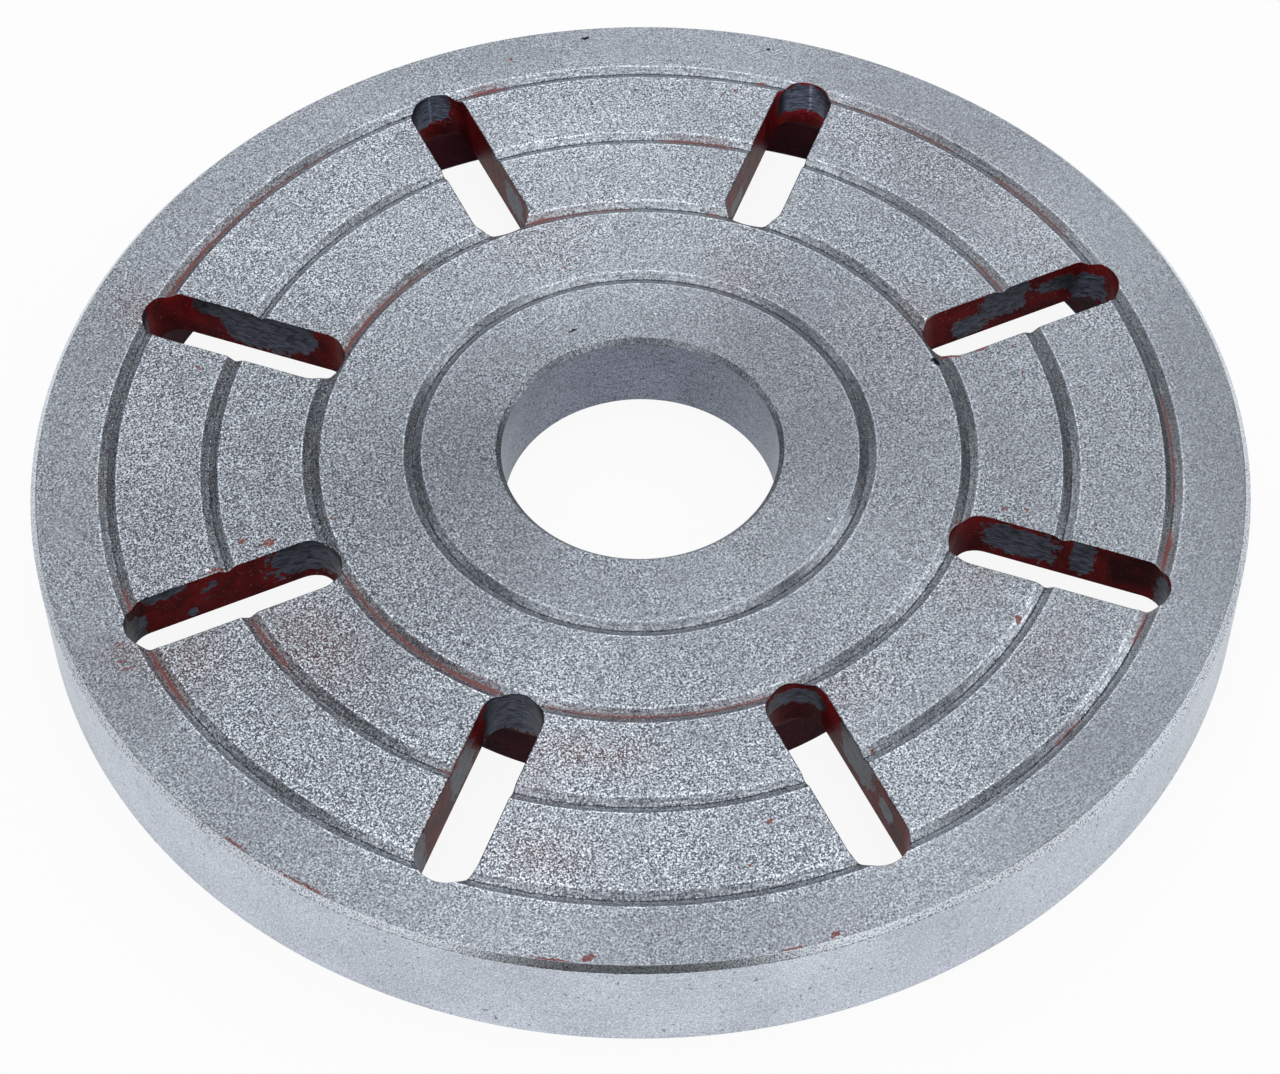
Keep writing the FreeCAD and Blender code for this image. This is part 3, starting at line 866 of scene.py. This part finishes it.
def makeRecessPaint(v):
    tree = newFinish("castingPaintDullShaded")
    place = (add(tree, "TexCoord"), "Object")
    sand = add(tree, "TexNoise", {"Scale": 1000 / v["sand"], "Detail": 3, "Roughness": 0.6}, {"Vector": place})
    pool = add(tree, "TexNoise", {"Scale": v["poolCells"], "Detail": 3, "Roughness": 0.55}, {"Vector": place})
    poolTone = add(tree, "MapRange", {1: 0.35, 2: 0.65}, {0: pool})
    film = add(tree, "Mix", {"data_type": "RGBA", 6: paint(v["deep"]), 7: paint(v["light"])}, {0: poolTone})
    settled = add(tree, "MapRange", {1: 0.5, 2: 0.72, 3: 0, 4: 0.35}, {0: sand})
    film = add(tree, "Mix", {"data_type": "RGBA", 7: paint(v["dust"])}, {0: settled, 6: (film, 2)})
    rough = add(tree, "MapRange", {1: 0.3, 2: 0.7, 3: 0.38, 4: 0.6}, {0: sand})
    relief = add(tree, "Bump", {"Strength": 0.7, "Distance": v["relief"] * mm}, {"Height": sand})
    surface = add(tree, "BsdfPrincipled", {"Specular IOR Level": 0.02},
                  {"Base Color": (film, 2), "Roughness": rough, "Normal": relief})
    add(tree, "OutputMaterial", {}, {"Surface": surface})


# in the order of the finish numbers
makeFacedIron(faced)
makeTurnedIron(turned["rim"], chamferWear)
makeRecessPaint(recess)
makeTurnedIron(turned["bore"])
makeSlotPaint(coat)
print("finishes made", [m.name for m in mesh.materials])

studio = {
    "floorSize": 12.0,  # metres
    "floorDrop": 0.0003,
    "paper": 0.9,
    "floorShown": 0.92,  # share of its own white, the rest takes light and shadow
    "world": 0.09,
}


def makeFloor():
    half, low = studio["floorSize"] / 2, -studio["floorDrop"]
    data = bpy.data.meshes.new("paperFloor")
    corners = [(-half, -half, low), (half, -half, low), (half, half, low), (-half, half, low)]
    data.from_pydata(corners, [], [(0, 1, 2, 3)])
    floor = bpy.data.objects.new("paperFloor", data)
    scene.collection.objects.link(floor)
    m = bpy.data.materials.new("whitePaper")
    m.use_nodes = True
    tree = m.node_tree
    tree.nodes.clear()
    # matt paper that also shows its own white to the lens and in the metal, and keeps the plate's shadow in part
    path = add(tree, "LightPath")
    seen = add(tree, "Math", {"operation": "MAXIMUM"}, {0: (path, "Is Camera Ray"), 1: (path, "Is Glossy Ray")})
    seen = add(tree, "Math", {"operation": "MAXIMUM"}, {0: seen, 1: (path, "Is Transmission Ray")})
    share = add(tree, "Math", {"operation": "MULTIPLY", 1: studio["floorShown"]}, {0: seen})
    matt = add(tree, "BsdfDiffuse", {"Color": (studio["paper"],) * 3 + (1,)})
    glow = add(tree, "Emission", {"Color": (1, 1, 1, 1), "Strength": 1.0})
    both = add(tree, "MixShader", {}, {0: share, 1: matt, 2: glow})
    add(tree, "OutputMaterial", {}, {"Surface": both})
    data.materials.append(m)


makeFloor()
world = bpy.data.worlds.new("softRoom")
scene.world = world
world.use_nodes = True
world.node_tree.nodes["Background"].inputs[0].default_value = (1, 1, 1, 1)
world.node_tree.nodes["Background"].inputs[1].default_value = studio["world"]


def softbox(name, place, size, radiance, turn, aim):
    # a lamp panel whose surface shines at the given level; turn is the azimuth in degrees of its second side
    data = bpy.data.lights.new(name, "AREA")
    data.shape = "RECTANGLE"
    data.size, data.size_y = size
    data.energy = radiance * np.pi * size[0] * size[1]
    lamp = bpy.data.objects.new(name, data)
    back = unit(np.array(place, float) - np.array(aim, float))
    along = np.array([np.cos(np.radians(turn)), np.sin(np.radians(turn)), 0])
    right = unit(np.cross(along, back))
    up = np.cross(back, right)
    pose = np.eye(4)
    pose[:3, 0], pose[:3, 1], pose[:3, 2], pose[:3, 3] = right, up, back, place
    lamp.matrix_world = Matrix(pose.tolist())
    lamp.visible_camera = False
    scene.collection.objects.link(lamp)


def seenPlace(right, back, up):
    # a place given in metres to the right of the plate, behind it and above the floor, as the camera sees them
    away = np.radians(viewpoint["azimuth"] + 180)
    return np.array([back * np.cos(away) + right * np.sin(away), back * np.sin(away) - right * np.cos(away), up])


# two softboxes face straight down over the plate, a wide bank stands behind it, one softbox and one low panel at each
# side light the walls and the chamfer, and a white reflector stands at each side of the camera, with a gap between
lamps = {
    # place to the right, behind and up in metres, width and height, shine, turn from the viewpoint's azimuth, and
    # whether it faces straight down
    "overheadSoftbox": ((0.05, -0.55, 1.5), (1.8, 1.05), 1.3, 0, True),
    "stripSoftbox": ((-0.02, 0.95, 1.5), (1.1, 2.0), 1.76, 0, True),
    "backSoftbox": ((-0.2, 2.3, 1.6), (0.8, 3.6), 0.7, 90, False),
    "rightSoftbox": ((1.6, 0.3, 1.3), (1.1, 0.7), 2.0, 0, False),
    "leftSoftbox": ((-1.6, 0.3, 1.4), (1.1, 0.7), 0.8, 0, False),
    "lowLeftPanel": ((-1.45, -0.12, 0.42), (0.6, 1.9), 0.7, 5, False),
    "lowRightPanel": ((1.45, -0.12, 0.42), (0.6, 1.9), 0.85, -5, False),
    "leftReflector": ((-1.35, -1.48, 1.5), (1.2, 1.26), 1.2, 47.5, False),
    "rightReflector": ((1.26, -1.55, 1.5), (1.2, 1.38), 1.2, 129, False),
}
for name, ((right, back, up), size, shine, swing, down) in lamps.items():
    aim = seenPlace(right, back, 0) if down else (0, 0, 0)
    softbox(name, seenPlace(right, back, up), size, shine, viewpoint["azimuth"] + swing, aim)
print("studio lit")

scene.view_settings.view_transform = "Standard"
